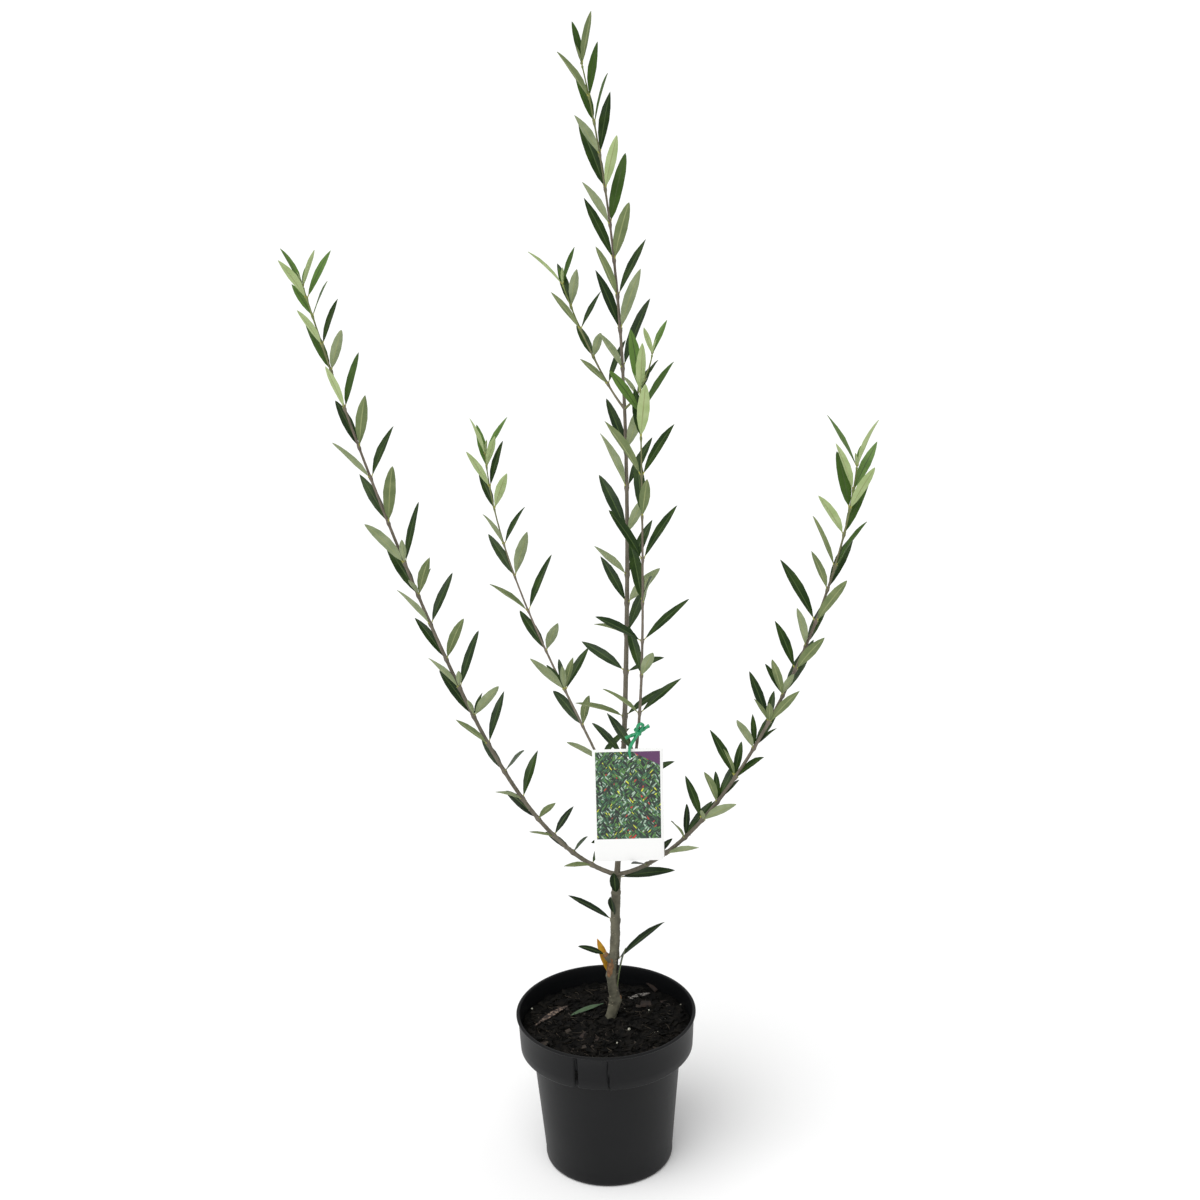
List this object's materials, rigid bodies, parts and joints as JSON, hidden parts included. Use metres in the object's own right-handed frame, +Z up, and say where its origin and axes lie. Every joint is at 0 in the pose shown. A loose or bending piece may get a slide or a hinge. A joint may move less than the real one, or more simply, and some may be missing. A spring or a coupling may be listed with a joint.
{
  "type": "potted young olive tree",
  "caption": "Young olive tree with a slender trunk, leader and upswept leafy boughs, standing in a round black nursery pot of potting mix, with a blank picture tag.",
  "frame": {"origin": "centre of the pot's flat underside, where it stands", "axes": "+Z up along the trunk, -Y towards the side that the tag faces, +X to the right as seen from there"},
  "size_m": [0.5985, 0.365, 1.256],
  "materials": {
    "pot_black": "satin",
    "potting_mix": "matte",
    "olive_bark": "matte",
    "olive_leaf": "satin",
    "yellow_leaf": "satin",
    "tag_card": "satin",
    "tie_green": "satin"
  },
  "bodies": {
    "root": {"bough_back": "olive_bark", "bough_back_foliage_1": "olive_leaf", "bough_back_foliage_2": "olive_leaf", "bough_back_leaf_1_1": "olive_leaf", "bough_back_leaf_1_2": "olive_leaf", "bough_front": "olive_bark", "bough_front_foliage_1": "olive_leaf", "bough_front_foliage_2": "olive_leaf", "bough_front_leaf_1_1": "olive_leaf", "bough_front_leaf_1_2": "olive_leaf", "bough_left": "olive_bark", "bough_left_foliage_1": "olive_leaf", "bough_left_foliage_2": "olive_leaf", "bough_left_foliage_3": "olive_leaf", "bough_left_foliage_4": "olive_leaf", "bough_left_leaf_1_1": "olive_leaf", "bough_left_leaf_1_2": "olive_leaf", "bough_left_leaf_2_1": "olive_leaf", "bough_left_leaf_2_2": "olive_leaf", "bough_left_leaf_3_1": "olive_leaf", "bough_left_leaf_3_2": "olive_leaf", "bough_right": "olive_bark", "bough_right_foliage_1": "olive_leaf", "bough_right_foliage_2": "olive_leaf", "bough_right_foliage_3": "olive_leaf", "bough_right_leaf_1_1": "olive_leaf", "bough_right_leaf_1_2": "olive_leaf", "bough_right_leaf_2_1": "olive_leaf", "bough_right_leaf_2_2": "olive_leaf", "bough_right_leaf_3_1": "olive_leaf", "bough_right_leaf_3_2": "olive_leaf", "leader": "olive_bark", "leader_foliage_1": "olive_leaf", "leader_foliage_2": "olive_leaf", "leader_foliage_3": "olive_leaf", "leader_foliage_4": "olive_leaf", "leader_leaf_1_1": "olive_leaf", "leader_leaf_1_2": "olive_leaf", "pot": "pot_black", "soil": "potting_mix", "stub_leaf": "olive_leaf", "tag": "tag_card", "tag_tie": "tie_green", "trunk": "olive_bark", "trunk_leaf_1": "olive_leaf", "trunk_leaf_2": "yellow_leaf", "trunk_leaf_3": "olive_leaf", "trunk_leaf_4": "olive_leaf", "trunk_leaf_5": "olive_leaf", "trunk_leaf_6": "olive_leaf", "trunk_leaf_7": "olive_leaf"}
  },
  "joints": []
}
